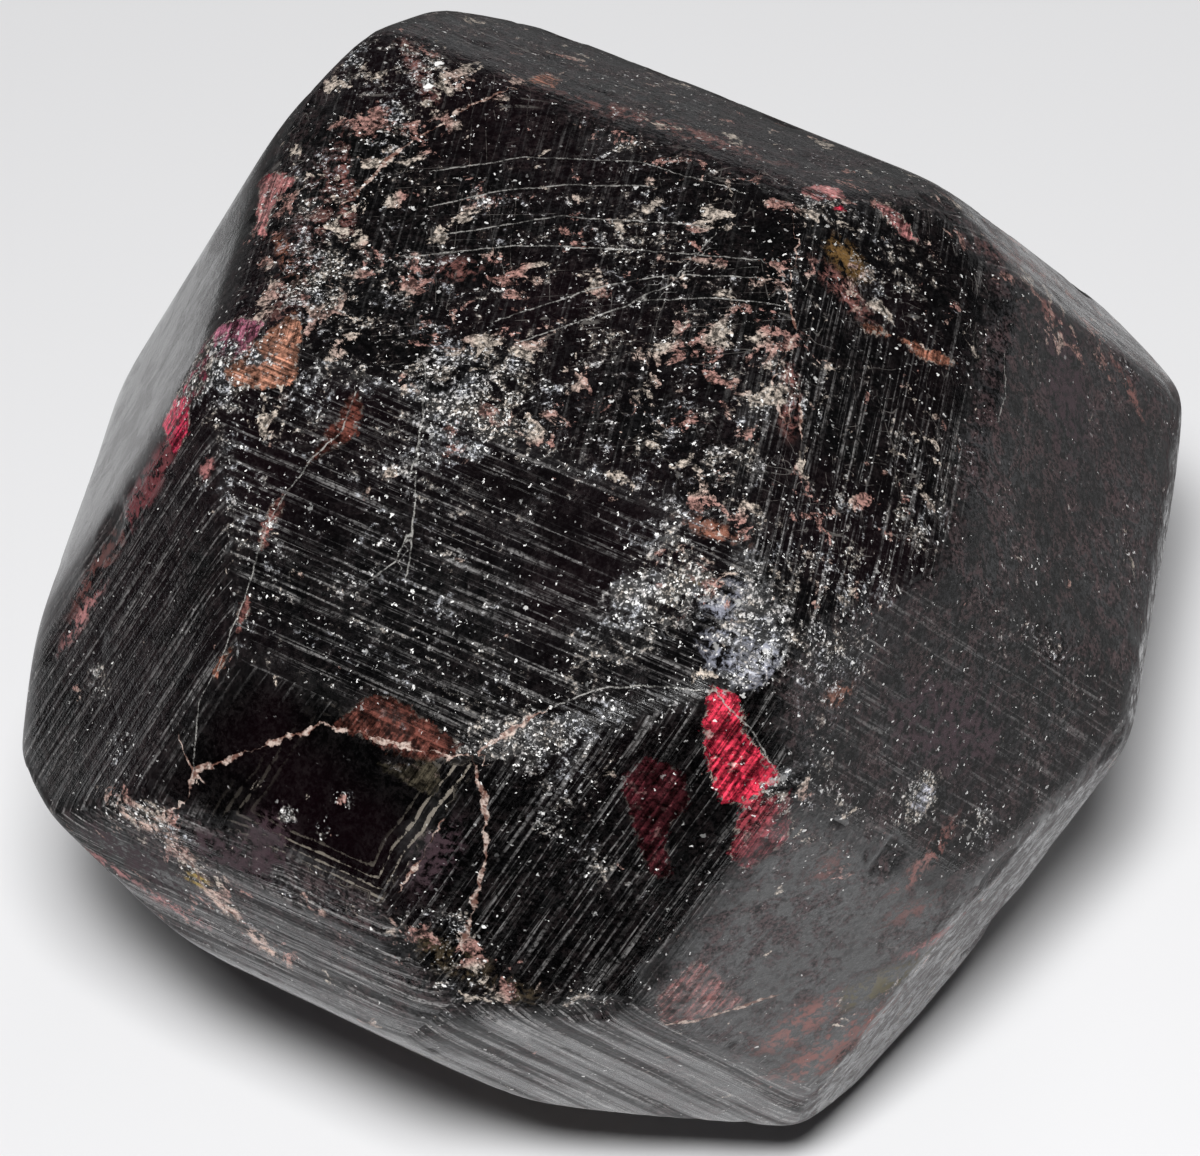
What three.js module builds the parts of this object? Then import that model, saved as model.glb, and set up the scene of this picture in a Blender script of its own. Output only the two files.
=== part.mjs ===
// A loose garnet crystal: a rhombic dodecahedron with trapezohedron faces along its edges,
// its corners and edges worn round, resting on one of its flat dodecahedron faces.
// Millimetres, +Z up, origin under the middle of the crystal, on the surface it rests on.

import * as THREE from 'three';
import { ConvexGeometry } from 'three/addons/geometries/ConvexGeometry.js';

// ---- driving dimensions --------------------------------------------------------------

const DODECAHEDRON_REACH = 17.5;   // centre to a {110} face
const TRAPEZOHEDRON_REACH = 17.5;  // centre to a {211} face
const WEAR_RADIUS = 2.4;           // rounding of every edge and corner
const LATTICE_TURN = 22;           // degrees from +X to the crystal's a axis
const LATTICE_TIP = 45;            // degrees about the a axis, which sets [011] upright
const ROUNDING_DETAIL = 13;        // how finely the rounded edges are divided

// How much further out (+) or in (-) than its form's reach each uneven face grew.
const UNEVEN_GROWTH = {
  // dodecahedron faces
  '0,1,1': -2.5,      // the level top face
  '1,0,1': -0.8,
  '1,1,0': -0.8,
  '-1,0,1': 1.0,
  '0,1,-1': -0.4,
  '0,-1,-1': -1.5,    // the face it rests on
  // trapezohedron faces round the top
  '1,1,2': -1.3,
  '-1,1,2': -1.1,
  '1,2,1': -1.2,
  '-1,2,1': 0.6,
  '1,-1,2': -0.3,
  '-1,-1,2': 0.6,
  // trapezohedron faces round the sides
  '2,1,1': 0.4,
  '2,1,-1': 0.6,
  '2,-1,1': 1.0,
  '2,-1,-1': 0.9,
  '-2,1,1': 0.7,
  '-2,1,-1': 0.5,
  '-2,-1,1': 1.2,
  '-2,-1,-1': -0.6,
  // trapezohedron faces beneath
  '1,2,-1': 1.2,
  '1,-2,1': -0.3,
  '-1,-2,1': 0.2,
  '-1,-2,-1': -2.2,
};

// ---- the crystal's faces -------------------------------------------------------------

// Every index triple made from the given one by reordering it and changing signs.
function formFaces(indices) {
  const [p, q, r] = indices;
  const orders = [[p, q, r], [p, r, q], [q, p, r], [q, r, p], [r, p, q], [r, q, p]];
  const faces = new Map();
  for (const order of orders) {
    for (let signs = 0; signs < 8; signs++) {
      const face = order.map((index, axis) => (signs & (1 << axis) ? -index || 0 : index));
      faces.set(face.join(','), face);
    }
  }
  return faces;
}

function latticeToPart() {
  const tip = new THREE.Matrix4().makeRotationX(THREE.MathUtils.degToRad(LATTICE_TIP));
  const turn = new THREE.Matrix4().makeRotationZ(THREE.MathUtils.degToRad(LATTICE_TURN));
  return turn.multiply(tip);
}

function crystalPlanes() {
  const toPart = latticeToPart();
  const planes = [];
  for (const [indices, reach] of [
    [[1, 1, 0], DODECAHEDRON_REACH],
    [[2, 1, 1], TRAPEZOHEDRON_REACH],
  ]) {
    for (const [name, face] of formFaces(indices)) {
      const normal = new THREE.Vector3(...face).normalize().applyMatrix4(toPart);
      planes.push({ normal, reach: reach + (UNEVEN_GROWTH[name] ?? 0) });
    }
  }
  return planes;
}

// ---- the worn solid ------------------------------------------------------------------

// Corners of the body that all the planes bound, once each is moved in by the wear radius.
function insetCorners(planes) {
  const tolerance = 1e-6;
  const corners = [];
  const rows = new THREE.Matrix3();
  for (let i = 0; i < planes.length; i++) {
    for (let j = i + 1; j < planes.length; j++) {
      for (let k = j + 1; k < planes.length; k++) {
        const three = [planes[i], planes[j], planes[k]];
        const [a, b, c] = three.map((plane) => plane.normal);
        rows.set(a.x, a.y, a.z, b.x, b.y, b.z, c.x, c.y, c.z);
        if (Math.abs(rows.determinant()) < tolerance) continue;
        const corner = new THREE.Vector3(...three.map((plane) => plane.reach - WEAR_RADIUS));
        corner.applyMatrix3(rows.clone().invert());
        const within = planes.every(
          ({ normal, reach }) => normal.dot(corner) <= reach - WEAR_RADIUS + tolerance,
        );
        const isNew = corners.every((known) => known.distanceTo(corner) > tolerance);
        if (within && isNew) corners.push(corner);
      }
    }
  }
  return corners;
}

// The hull of a ball of the wear radius at each inset corner: every face stays flat and at
// its own reach, and every edge and corner between faces is round.
function wornSolid(planes) {
  const corners = insetCorners(planes);
  const points = [];
  const flatness = 1e-5;
  for (const { normal, reach } of planes) {
    for (const corner of corners) {
      if (normal.dot(corner) < reach - WEAR_RADIUS - flatness) continue;
      points.push(corner.clone().addScaledVector(normal, WEAR_RADIUS));
    }
  }
  const ball = new THREE.IcosahedronGeometry(1, ROUNDING_DETAIL).getAttribute('position');
  const direction = new THREE.Vector3();
  for (let i = 0; i < ball.count; i++) {
    direction.fromBufferAttribute(ball, i);
    const reaches = corners.map((corner) => corner.dot(direction));
    const furthest = corners[reaches.indexOf(Math.max(...reaches))];
    points.push(furthest.clone().addScaledVector(direction, WEAR_RADIUS));
  }
  return new ConvexGeometry(points);
}

// Stands the crystal on its rest face, with the middle of its box over the origin.
function standOnOrigin(geometry) {
  geometry.computeBoundingBox();
  const { min, max } = geometry.boundingBox;
  geometry.translate(-(min.x + max.x) / 2, -(min.y + max.y) / 2, -min.z);
  return geometry;
}

// ---- the part ------------------------------------------------------------------------

const garnet = new THREE.MeshStandardMaterial({
  color: 0x241215,
  roughness: 0.35,
  metalness: 0,
});

const crystal = new THREE.Mesh(standOnOrigin(wornSolid(crystalPlanes())), garnet);
crystal.name = 'garnet_crystal';

const part = new THREE.Group();
part.add(crystal);

export default part;
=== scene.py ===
from math import cos, pi, radians, sin

import bmesh
import bpy
import numpy as np
from mathutils import Matrix, Vector, noise


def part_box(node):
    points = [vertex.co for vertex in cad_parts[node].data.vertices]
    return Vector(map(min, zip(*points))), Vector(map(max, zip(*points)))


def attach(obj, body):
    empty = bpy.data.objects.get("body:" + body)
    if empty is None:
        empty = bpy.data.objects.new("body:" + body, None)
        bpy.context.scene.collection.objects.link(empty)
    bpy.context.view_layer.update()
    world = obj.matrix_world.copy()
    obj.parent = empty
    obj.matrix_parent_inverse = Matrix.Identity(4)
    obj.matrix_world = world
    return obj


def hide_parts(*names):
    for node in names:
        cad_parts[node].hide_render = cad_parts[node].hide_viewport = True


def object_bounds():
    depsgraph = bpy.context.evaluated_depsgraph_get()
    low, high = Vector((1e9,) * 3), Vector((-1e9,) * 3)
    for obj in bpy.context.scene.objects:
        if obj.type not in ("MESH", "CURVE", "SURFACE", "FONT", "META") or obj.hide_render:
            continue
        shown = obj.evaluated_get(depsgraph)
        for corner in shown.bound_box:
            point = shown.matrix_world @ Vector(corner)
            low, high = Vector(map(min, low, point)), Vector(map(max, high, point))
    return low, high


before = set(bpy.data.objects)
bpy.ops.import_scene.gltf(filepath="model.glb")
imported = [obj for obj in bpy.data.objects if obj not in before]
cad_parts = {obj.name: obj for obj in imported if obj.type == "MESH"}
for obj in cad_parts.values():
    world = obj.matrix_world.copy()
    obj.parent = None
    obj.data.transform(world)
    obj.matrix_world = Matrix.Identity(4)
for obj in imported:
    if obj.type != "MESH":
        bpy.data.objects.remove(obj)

cad_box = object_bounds()

# --------------------------------------------------------
# The garnet's lattice and faces. It is one natural crystal: twelve lozenge faces, square
# to the lattice's face diagonals, and twenty-four kite faces between them. The lattice
# is tipped so that one lozenge face is level on top and its twin is underneath.

MM = 0.001
LATTICE_TIP = Matrix.Rotation(radians(45), 3, "X")
LATTICE_TURN = Matrix.Rotation(radians(22), 3, "Z")
lattice = np.array(LATTICE_TURN @ LATTICE_TIP)

crystal_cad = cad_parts["garnet_crystal"]
low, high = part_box("garnet_crystal")
HEART_OFFSET = Vector((-0.3, -0.1, 0.5)) * MM
heart = np.array((low + high) / 2 + HEART_OFFSET)

TOP = (0, 1, 1)
BROAD = (-1, 1, 2)
LOZENGE = (-1, 0, 1)
FRONT = (-1, -1, 2)
SHEER = (0, -1, 1)
FOOT = (-1, -2, 1)
FOOT_LEFT = (-2, -1, 1)
LEFT = (-2, 1, 1)
FAR_LEFT = (-1, 1, 0)
BACK_LEFT = (-1, 2, 1)
BACK = (1, 2, 1)
BACK_RIGHT = (2, 1, 1)
RIDGED = (1, 1, 2)
RIGHT = (1, 0, 1)
LOWER_RIGHT = (1, -1, 2)
FAR_RIGHT = (2, -1, 1)
FOOT_RIGHT = (1, -2, 1)


def unit(vector):
    return vector / np.linalg.norm(vector)


def grain_of(face):
    """The direction that growth lines follow on a face: the body diagonal it shares with
    its lozenge neighbours."""
    signs = np.sign(face)
    biggest = np.argmax(np.abs(face))
    if 0 in face:
        flat = face.index(0)
        others = [axis for axis in range(3) if axis != flat]
        along = np.zeros(3)
        along[flat] = 1
        along[others[0]] = signs[others[1]]
        along[others[1]] = -signs[others[0]]
        return along
    along = -signs
    along[biggest] = signs[biggest]
    return along


solid_corners = np.empty(len(crystal_cad.data.vertices) * 3)
crystal_cad.data.vertices.foreach_get("co", solid_corners)
solid_corners = solid_corners.reshape(-1, 3) - heart

faces = []
for form in ((1, 1, 0), (2, 1, 1)):
    indices = set()
    for order in ((0, 1, 2), (1, 2, 0), (2, 0, 1)):
        for signs in range(8):
            flip = [1 - 2 * (signs >> axis & 1) for axis in range(3)]
            indices.add(tuple(form[order[axis]] * flip[axis] for axis in range(3)))
    for face in sorted(indices):
        outward = unit(lattice @ np.array(face))
        along = unit(lattice @ grain_of(face))
        reach = (solid_corners @ outward).max()
        faces.append({"face": face, "outward": outward, "along": along, "reach": reach,
                      "across": np.cross(outward, along)})
number_of = {row["face"]: number for number, row in enumerate(faces)}
outward = np.array([row["outward"] for row in faces])
along = np.array([row["along"] for row in faces])
across = np.array([row["across"] for row in faces])
reach = np.array([row["reach"] for row in faces])


def on_face(face, u, v):
    """A point on a face, given in millimetres along and across its growth lines."""
    row = faces[number_of[face]]
    return row["outward"] * row["reach"] + (row["along"] * u + row["across"] * v) * MM


# --------------------------------------------------------
# The crystal's body. A ball of even squares is drawn out onto the faces; the squares that
# a border between two faces crosses are moved onto it, so each edge is one clean run.

SIDE_CELLS = 126
SNAP_REACH = 0.42

body = bmesh.new()
lift = Matrix.Translation((0, 0, 1))
for turn in range(4):
    bmesh.ops.create_grid(body, x_segments=SIDE_CELLS, y_segments=SIDE_CELLS, size=1,
                          matrix=Matrix.Rotation(turn * pi / 2, 4, "X") @ lift)
for turn in (-1, 1):
    bmesh.ops.create_grid(body, x_segments=SIDE_CELLS, y_segments=SIDE_CELLS, size=1,
                          matrix=Matrix.Rotation(turn * pi / 2, 4, "Y") @ lift)
bmesh.ops.remove_doubles(body, verts=body.verts, dist=0.2 / SIDE_CELLS)
bmesh.ops.recalc_face_normals(body, faces=body.faces)

aim = np.array([vertex.co for vertex in body.verts])
aim = np.tan(aim * pi / 4)
aim /= np.linalg.norm(aim, axis=1)[:, None]

pull = outward / reach[:, None]
share = aim @ pull.T
ranked = np.argsort(-share, axis=1)
border = pull[ranked[:, 0]] - pull[ranked[:, 1]]
border_length = np.linalg.norm(border, axis=1)
past_border = np.einsum("ij,ij->i", aim, border) / border_length
cell = pi / 2 / SIDE_CELLS
near_border = np.abs(past_border) < SNAP_REACH * cell
aim[near_border] -= (past_border / border_length)[near_border, None] * border[near_border]
aim /= np.linalg.norm(aim, axis=1)[:, None]
for vertex, place in zip(body.verts, aim):
    vertex.co = place
body.verts.ensure_lookup_table()
bmesh.ops.connect_verts(body, verts=[body.verts[i] for i in np.flatnonzero(near_border)])

crystal_mesh = bpy.data.meshes.new("crystal")
body.to_mesh(crystal_mesh)
body.free()

# --------------------------------------------------------
# Wear. Every edge has been rubbed round, more in some places than in others. The powers
# below say how crisp an edge is left: the higher, the crisper.

EDGE_POWER = 75
EDGE_POWER_CHANGE = 30
BLUNTEST_POWER = 24
NEAR_EDGE_POWER = 45
FACE_POWER = 140

count = len(crystal_mesh.vertices)
aim = np.empty(count * 3)
crystal_mesh.vertices.foreach_get("co", aim)
aim = aim.reshape(-1, 3)
aim /= np.linalg.norm(aim, axis=1)[:, None]


def noise_over(points, scale, seed=0.0, octaves=1):
    """Smooth noise from about -1 to 1 at each point; scale is in waves per millimetre."""
    shift = Vector((seed * 17.3, seed * 5.1, seed * 9.7))
    values = np.zeros(len(points))
    for octave in range(octaves):
        grow = 2 ** octave
        values += [noise.noise(Vector(p) * scale * grow + shift) / grow for p in points / MM]
    return values


share = aim @ pull.T
order = np.argsort(-share, axis=1)[:, :2]
first, second = order[:, 0], order[:, 1]
scaled = np.maximum(share, 0) / share.max(axis=1)[:, None]

# Edges that are rubbed rounder than the rest, and by how much.
BLUNT_EDGES = [(RIDGED, RIGHT, 34), (RIDGED, BACK_RIGHT, 34), (LOWER_RIGHT, SHEER, 34),
               (LOZENGE, FOOT_LEFT, 50), (FRONT, FOOT, 22)]
edge_power = EDGE_POWER - EDGE_POWER_CHANGE * noise_over(aim * np.mean(reach), 0.13, seed=1)
near_share = scaled ** NEAR_EDGE_POWER
near_share /= near_share.sum(axis=1)[:, None]
for one, other, bluntness in BLUNT_EDGES:
    near_edge = 4 * near_share[:, number_of[one]] * near_share[:, number_of[other]]
    edge_power = edge_power - bluntness * near_edge
edge_power = np.maximum(edge_power, BLUNTEST_POWER)

weight = scaled ** edge_power[:, None]
out_to = 1 / (share.max(axis=1) * np.sum(weight, axis=1) ** (1 / edge_power))
places = aim * out_to[:, None]
lean = weight @ pull
lean /= np.linalg.norm(lean, axis=1)[:, None]

border = pull[first] - pull[second]
edge_gap = np.einsum("ij,ij->i", places, border) / np.linalg.norm(border, axis=1) / MM

face_share = scaled ** FACE_POWER
face_share /= face_share.sum(axis=1)[:, None]

u_along = np.einsum("ij,ij->i", places, along[first]) / MM
v_across = np.einsum("ij,ij->i", places, across[first]) / MM


def step(values, low, high):
    """0 below low, 1 above high, smooth between."""
    t = np.clip((values - low) / (high - low), 0, 1)
    return t * t * (3 - 2 * t)


# --------------------------------------------------------
# How each face finished growing, and how it wore: how strongly it is lined, how frosted
# with tiny pits, how flecked with pinkish and brown spots, how much grey-brown skin it has,
# partly painted reflection of the pale paper, and how dull it is. 0 is none and 1 is covered.

FINISH = {
    TOP: (0.15, 0.62, 0.72, 0.10, 0.0),
    BROAD: (0.80, 0.62, 0.32, 0.05, 0.0),
    LOZENGE: (0.00, 0.05, 0.06, 0.02, 0.0),
    FRONT: (0.68, 0.38, 0.14, 0.08, 0.0),
    SHEER: (0.08, 0.22, 0.30, 0.85, 0.6),
    FOOT: (1.70, 0.35, 0.25, 0.60, 0.0),
    FOOT_LEFT: (1.80, 0.35, 0.45, 0.70, 0.0),
    LEFT: (0.78, 0.32, 0.18, 0.12, 0.0),
    FAR_LEFT: (0.15, 0.06, 0.10, 0.30, 0.0),
    BACK_LEFT: (0.35, 0.45, 0.60, 0.30, 0.0),
    BACK: (0.30, 0.50, 0.60, 0.50, 0.0),
    BACK_RIGHT: (0.60, 0.30, 0.50, 1.20, 0.1),
    RIDGED: (1.00, 0.52, 0.55, 0.06, 0.0),
    RIGHT: (0.06, 0.30, 0.10, 0.95, 0.2),
    LOWER_RIGHT: (0.45, 0.40, 0.12, 0.55, 0.0),
    FAR_RIGHT: (0.30, 0.30, 0.30, 0.80, 0.6),
    FOOT_RIGHT: (0.60, 0.30, 0.40, 0.80, 0.6),
}
UNSEEN_LOZENGE = (0.25, 0.30, 0.35, 0.70, 0.0)
UNSEEN_KITE = (0.90, 0.42, 0.35, 0.60, 0.0)
random = np.random.default_rng(4)
finish = np.zeros((len(faces), 5))
for number, row in enumerate(faces):
    usual = UNSEEN_LOZENGE if 0 in row["face"] else UNSEEN_KITE
    finish[number] = FINISH.get(row["face"], usual * random.uniform(0.6, 1.4, 5))
lines, frost, flecks, skin_and_reflection, dull = (face_share @ finish).T


def nearness(face, u, v, radius):
    """1 at a point on a face, fading to nothing over a radius in millimetres."""
    away = np.linalg.norm(places - on_face(face, u, v), axis=1) / MM
    return np.exp(-(away / radius) ** 2)


# Rough patches: face, millimetres along and across, radius, added frost and added flecks.
ROUGH_PATCHES = [
    (BROAD, 11.4, -1.6, 1.3, 0.60, 0.0),
    (BROAD, 9.0, -0.6, 2.0, 0.30, 0.4),
    (BROAD, 7.2, -1.2, 1.6, 0.25, 0.2),
    (BROAD, 4.4, -1.6, 2.4, -0.15, -0.1),
    (BROAD, -1.0, 1.0, 2.6, 0.20, 0.2),
    (BROAD, -6.5, -0.6, 2.4, 0.20, 0.1),
    (BROAD, 5.0, -8.0, 1.6, 0.30, 0.2),
    (FRONT, 5.0, 3.6, 1.6, 0.40, 0.0),
    (FRONT, 1.4, 2.7, 0.7, 0.35, 0.3),
    (FRONT, 2.6, 2.2, 1.7, 0.26, 0.1),
    (FRONT, 1.1, 0.5, 0.8, 0.30, 0.2),
    (FRONT, 6.4, -2.9, 0.7, 0.80, 0.2),
    (FRONT, -3.6, 2.6, 0.8, 0.30, 0.7),
    (RIDGED, 6.6, 1.1, 0.8, 0.45, 0.2),
    (RIDGED, 8.8, 2.0, 1.5, 0.35, 0.2),
    (RIDGED, 5.0, 3.8, 1.6, 0.25, 0.1),
    (RIDGED, -1.0, -2.0, 1.2, 0.20, 0.5),
    (RIDGED, 2.4, -1.6, 1.2, 0.20, 0.6),
    (RIDGED, -5.6, -1.6, 1.6, 0.30, 0.5),
    (LOWER_RIGHT, 1.6, 3.1, 0.8, 1.60, 0.0),
    (LOWER_RIGHT, -1.7, 3.1, 0.8, 1.00, 0.0),
    (LOWER_RIGHT, 5.0, 6.0, 2.2, 0.35, 0.1),
    (TOP, -3.0, -3.0, 2.4, 0.10, 0.0),
    (TOP, 1.4, -1.6, 1.2, 0.20, 0.0),
    (TOP, 6.3, 2.6, 2.4, -0.30, -0.35),
    (BACK_RIGHT, 2.0, 1.0, 3.0, 0.10, 0.3),
    (RIGHT, 6.0, 0.6, 1.8, 0.10, 0.7),
    (RIGHT, 7.6, -3.0, 2.2, 0.10, 0.7),
    (RIGHT, -4.4, -1.0, 2.0, 0.35, 0.3),
    (RIGHT, 1.0, -6.2, 1.6, 0.20, 0.6),
    (LOWER_RIGHT, 7.4, 4.2, 1.2, 0.50, 0.6),
    (LOWER_RIGHT, 8.6, 0.6, 1.6, 0.45, 0.2),
    (SHEER, -1.0, -3.8, 2.4, 0.00, 0.5),
    (SHEER, 5.4, 3.2, 1.2, 0.20, 0.4),
    (LOZENGE, -3.8, 0.1, 0.4, 1.60, 1.1),
    (LOZENGE, -1.9, -1.2, 0.4, 1.60, 1.1),
    (LOZENGE, -3.3, -1.2, 0.4, 1.30, 1.1),
    (LOZENGE, -3.4, -3.6, 0.4, 0.20, 1.2),
    (FOOT_LEFT, -1.3, -4.0, 0.3, 0.80, 1.4),
    (FOOT_LEFT, -2.1, -4.1, 0.3, 0.80, 1.4),
    (FRONT, -3.4, 3.0, 0.5, 1.10, 1.2),
    (FRONT, -4.4, 4.4, 1.0, 0.25, 0.8),
    (FRONT, -4.8, 2.4, 1.2, 0.35, 0.9),
    (FRONT, -4.9, 0.4, 1.1, 0.25, 0.9),
    (FRONT, -4.1, -1.8, 1.0, 0.30, 0.7),
    (FRONT, -5.8, 2.2, 0.2, 1.40, 0.5),
    (TOP, 2.6, 8.8, 1.3, 0.30, 0.5),
    (TOP, 5.6, 8.2, 1.3, 0.40, 0.6),
    (TOP, 8.4, 7.2, 1.3, 0.30, 0.5),
    (TOP, -1.5, 9.5, 1.6, 0.25, 0.5),
    (TOP, -5.0, 4.0, 1.6, 0.20, 0.4),
    (LEFT, -1.5, -0.4, 0.5, 0.50, 0.4),
    (LEFT, -3.4, -3.8, 1.6, 1.10, 0.2),
    (LEFT, 7.0, 3.0, 0.9, 0.70, 0.6),
    (LEFT, 6.6, 0.6, 1.0, 0.50, 0.5),
    (BACK_LEFT, 2.4, 3.0, 1.4, 0.50, 0.5),
    (FOOT_LEFT, 7.4, -3.4, 0.8, 0.55, 1.4),
    (FOOT_LEFT, 6.3, -3.7, 0.8, 0.55, 1.4),
    (FOOT_LEFT, 5.3, -3.2, 0.8, 0.55, 1.4),
    (FOOT_LEFT, 4.7, -1.9, 0.8, 0.55, 1.5),
    (FOOT_LEFT, 3.5, -0.7, 0.7, 0.50, 1.4),
    (FOOT_LEFT, 2.4, 0.3, 0.7, 0.40, 1.2),
    (FOOT_LEFT, 0.6, -3.0, 0.8, 0.30, 0.7),
]
for face, u, v, radius, more_frost, more_flecks in ROUGH_PATCHES:
    near = nearness(face, u, v, radius)
    frost = frost + more_frost * near
    flecks = flecks + more_flecks * near

# Places where the growth lines are rubbed away or a face is duller than the rest of it:
# face, millimetres along and across, radius, change of lines and change of dullness.
RUBBED_PLACES = [
    (RIDGED, -3.4, 0.4, 2.8, -0.80, 0.0),
    (RIDGED, -4.4, 3.0, 2.4, -0.80, 0.0),
    (RIDGED, 0.0, 3.2, 2.2, -0.50, 0.0),
    (BROAD, 5.2, -0.6, 2.4, -0.30, 0.0),
    (BROAD, -5.5, 1.0, 2.4, -0.40, 0.0),
    (FRONT, 4.2, -0.4, 1.2, -0.40, 0.0),
    (FRONT, -5.0, 3.0, 1.4, -0.50, 0.0),
    (FRONT, -5.0, 0.4, 1.4, -0.50, 0.0),
    (LEFT, -3.4, -3.8, 2.4, -0.60, 0.0),
    (FOOT_LEFT, 8.2, -1.5, 0.8, -0.80, 1.0),
    (FOOT_LEFT, 6.8, -1.2, 0.8, -0.80, 1.0),
    (FOOT_LEFT, 5.6, -0.8, 0.7, -0.80, 1.0),
    (FOOT_LEFT, 3.4, -3.6, 0.8, -0.80, 0.9),
]
for face, u, v, radius, more_lines, more_dull in RUBBED_PLACES:
    near = nearness(face, u, v, radius)
    lines = np.maximum(lines + more_lines * near, 0)
    dull = dull + more_dull * near

# --------------------------------------------------------
# Windows: flat cracks just under the surface that send red or brown light back. Each has
# its face, its colour, and its outline in millimetres along and across the growth lines.

BRIGHT_RED = (0.55, 0.030, 0.062)
ROSE_RED = (0.55, 0.09, 0.16)
CHERRY = (0.48, 0.035, 0.08)
DARK_CHERRY = (0.20, 0.022, 0.05)
DEEP_RED = (0.20, 0.032, 0.042)
DARK_RED = (0.085, 0.010, 0.015)
BLACK_RED = (0.045, 0.009, 0.012)
RED_BROWN = (0.14, 0.048, 0.044)
BROWN_RED = (0.085, 0.028, 0.021)
PINK = (0.38, 0.16, 0.155)
ROSE_BROWN = (0.21, 0.09, 0.078)
MAUVE = (0.36, 0.12, 0.18)
ORANGE = (0.25, 0.105, 0.07)
PALE_ORANGE = (0.32, 0.15, 0.10)
YELLOW = (0.42, 0.29, 0.07)
OLIVE = (0.10, 0.085, 0.045)
DARK_OLIVE = (0.038, 0.032, 0.022)
ICE_BLUE = (0.50, 0.50, 0.56)

WINDOWS = [
    (FRONT, BRIGHT_RED, [(8.6, 0.8), (8.8, 0.1), (8.4, -0.5), (7.7, -1.0), (7.1, -2.5),
                         (6.6, -2.8), (5.7, -2.4), (5.1, -1.7), (6.1, -0.6), (7.3, 0.3)]),
    (FRONT, DEEP_RED, [(5.6, -2.2), (6.4, -3.4), (4.6, -4.4), (3.1, -3.7), (3.5, -2.9)]),
    (FRONT, BLACK_RED, [(4.2, 1.5), (5.4, 1.4), (5.5, 0.0), (4.6, -0.8), (3.1, -0.7),
                        (1.7, -1.8), (1.5, -1.2), (3.1, 0.5)]),
    (BROAD, BROWN_RED, [(-0.4, -9.2), (0.2, -7.9), (1.1, -7.6), (4.0, -8.1), (3.8, -8.6),
                        (2.2, -9.2), (1.1, -9.1)]),
    (LOZENGE, DARK_OLIVE, [(0.1, -1.4), (1.4, -3.1), (0.5, -3.7), (-0.1, -1.8)]),
    (SHEER, RED_BROWN, [(-2.9, 5.5), (-0.8, 5.1), (-2.6, 1.9), (-3.6, 3.0), (-4.2, 4.3)]),
    (BROAD, PALE_ORANGE, [(-9.4, 0.1), (-8.4, 1.3), (-8.0, 2.7), (-7.3, 2.1), (-6.6, 0.4),
                          (-7.6, -0.1), (-8.6, -0.5)]),
    (BROAD, BROWN_RED, [(-4.6, 1.0), (-4.1, 0.5), (-3.9, -0.4), (-4.5, -1.1), (-5.0, -1.8),
                        (-4.9, -0.6), (-4.7, 0.2)]),
    (BROAD, BRIGHT_RED, [(-4.4, -0.2), (-4.1, 0.0), (-4.0, -0.4), (-4.3, -0.6)]),
    (BROAD, ROSE_BROWN, [(-5.3, -3.0), (-5.1, -3.8), (-5.2, -5.0), (-5.5, -4.5), (-5.5, -3.6)]),
    (BROAD, ROSE_BROWN, [(-4.9, -6.3), (-4.7, -7.0), (-4.8, -7.7), (-5.1, -7.1)]),
    (LEFT, ORANGE, [(0.5, 4.8), (1.0, 5.0), (2.1, 5.1), (1.6, 4.7)]),
    (LEFT, CHERRY, [(-1.5, -3.9), (-2.6, -4.3), (-3.0, -3.2), (-2.2, -2.3), (-1.2, -2.2),
                    (-1.1, -3.9)]),
    (LEFT, DARK_CHERRY, [(-3.0, -4.4), (-4.0, -4.9), (-4.4, -3.6), (-3.6, -2.7), (-2.9, -3.1)]),
    (LEFT, MAUVE, [(-4.4, -4.9), (-5.6, -4.4), (-6.2, -3.4), (-5.2, -2.8), (-4.4, -3.4)]),
    (BACK_LEFT, PINK, [(4.5, 3.9), (4.2, 3.0), (3.5, 1.9), (2.9, 2.7), (0.9, 2.7), (1.8, 3.3)]),
    (BACK_LEFT, BRIGHT_RED, [(4.5, 3.7), (4.2, 4.0), (3.8, 3.5), (4.2, 3.1)]),
    (TOP, ORANGE, [(9.5, 4.2), (10.6, 3.8), (10.2, 3.2), (9.3, 3.3)]),
    (RIDGED, PINK, [(-5.6, -2.2), (-6.6, -1.7), (-6.7, -0.9), (-6.1, -0.8), (-5.3, -1.7)]),
    (RIDGED, BRIGHT_RED, [(-5.5, -1.0), (-5.3, -0.8), (-5.2, -1.1)]),
    (RIDGED, PINK, [(-6.5, 0.1), (-6.4, 1.0), (-5.4, 2.1), (-5.4, 1.8), (-5.6, 0.8)]),
    (RIDGED, ORANGE, [(-0.9, 0.5), (-1.3, 1.4), (-1.0, 1.7), (-0.7, 0.9)]),
    (RIDGED, ORANGE, [(-1.2, 2.2), (-1.3, 3.0), (-1.5, 4.2), (-1.2, 4.2), (-0.8, 3.1),
                      (-0.9, 2.5)]),
    (SHEER, ROSE_RED, [(0.0, -5.0), (0.3, -4.8), (0.4, -5.1), (0.1, -5.3)]),
    (LOWER_RIGHT, ICE_BLUE, [(2.3, 2.8), (1.9, 2.4), (1.2, 2.8), (1.1, 3.5), (2.0, 3.6)]),
]

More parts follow.
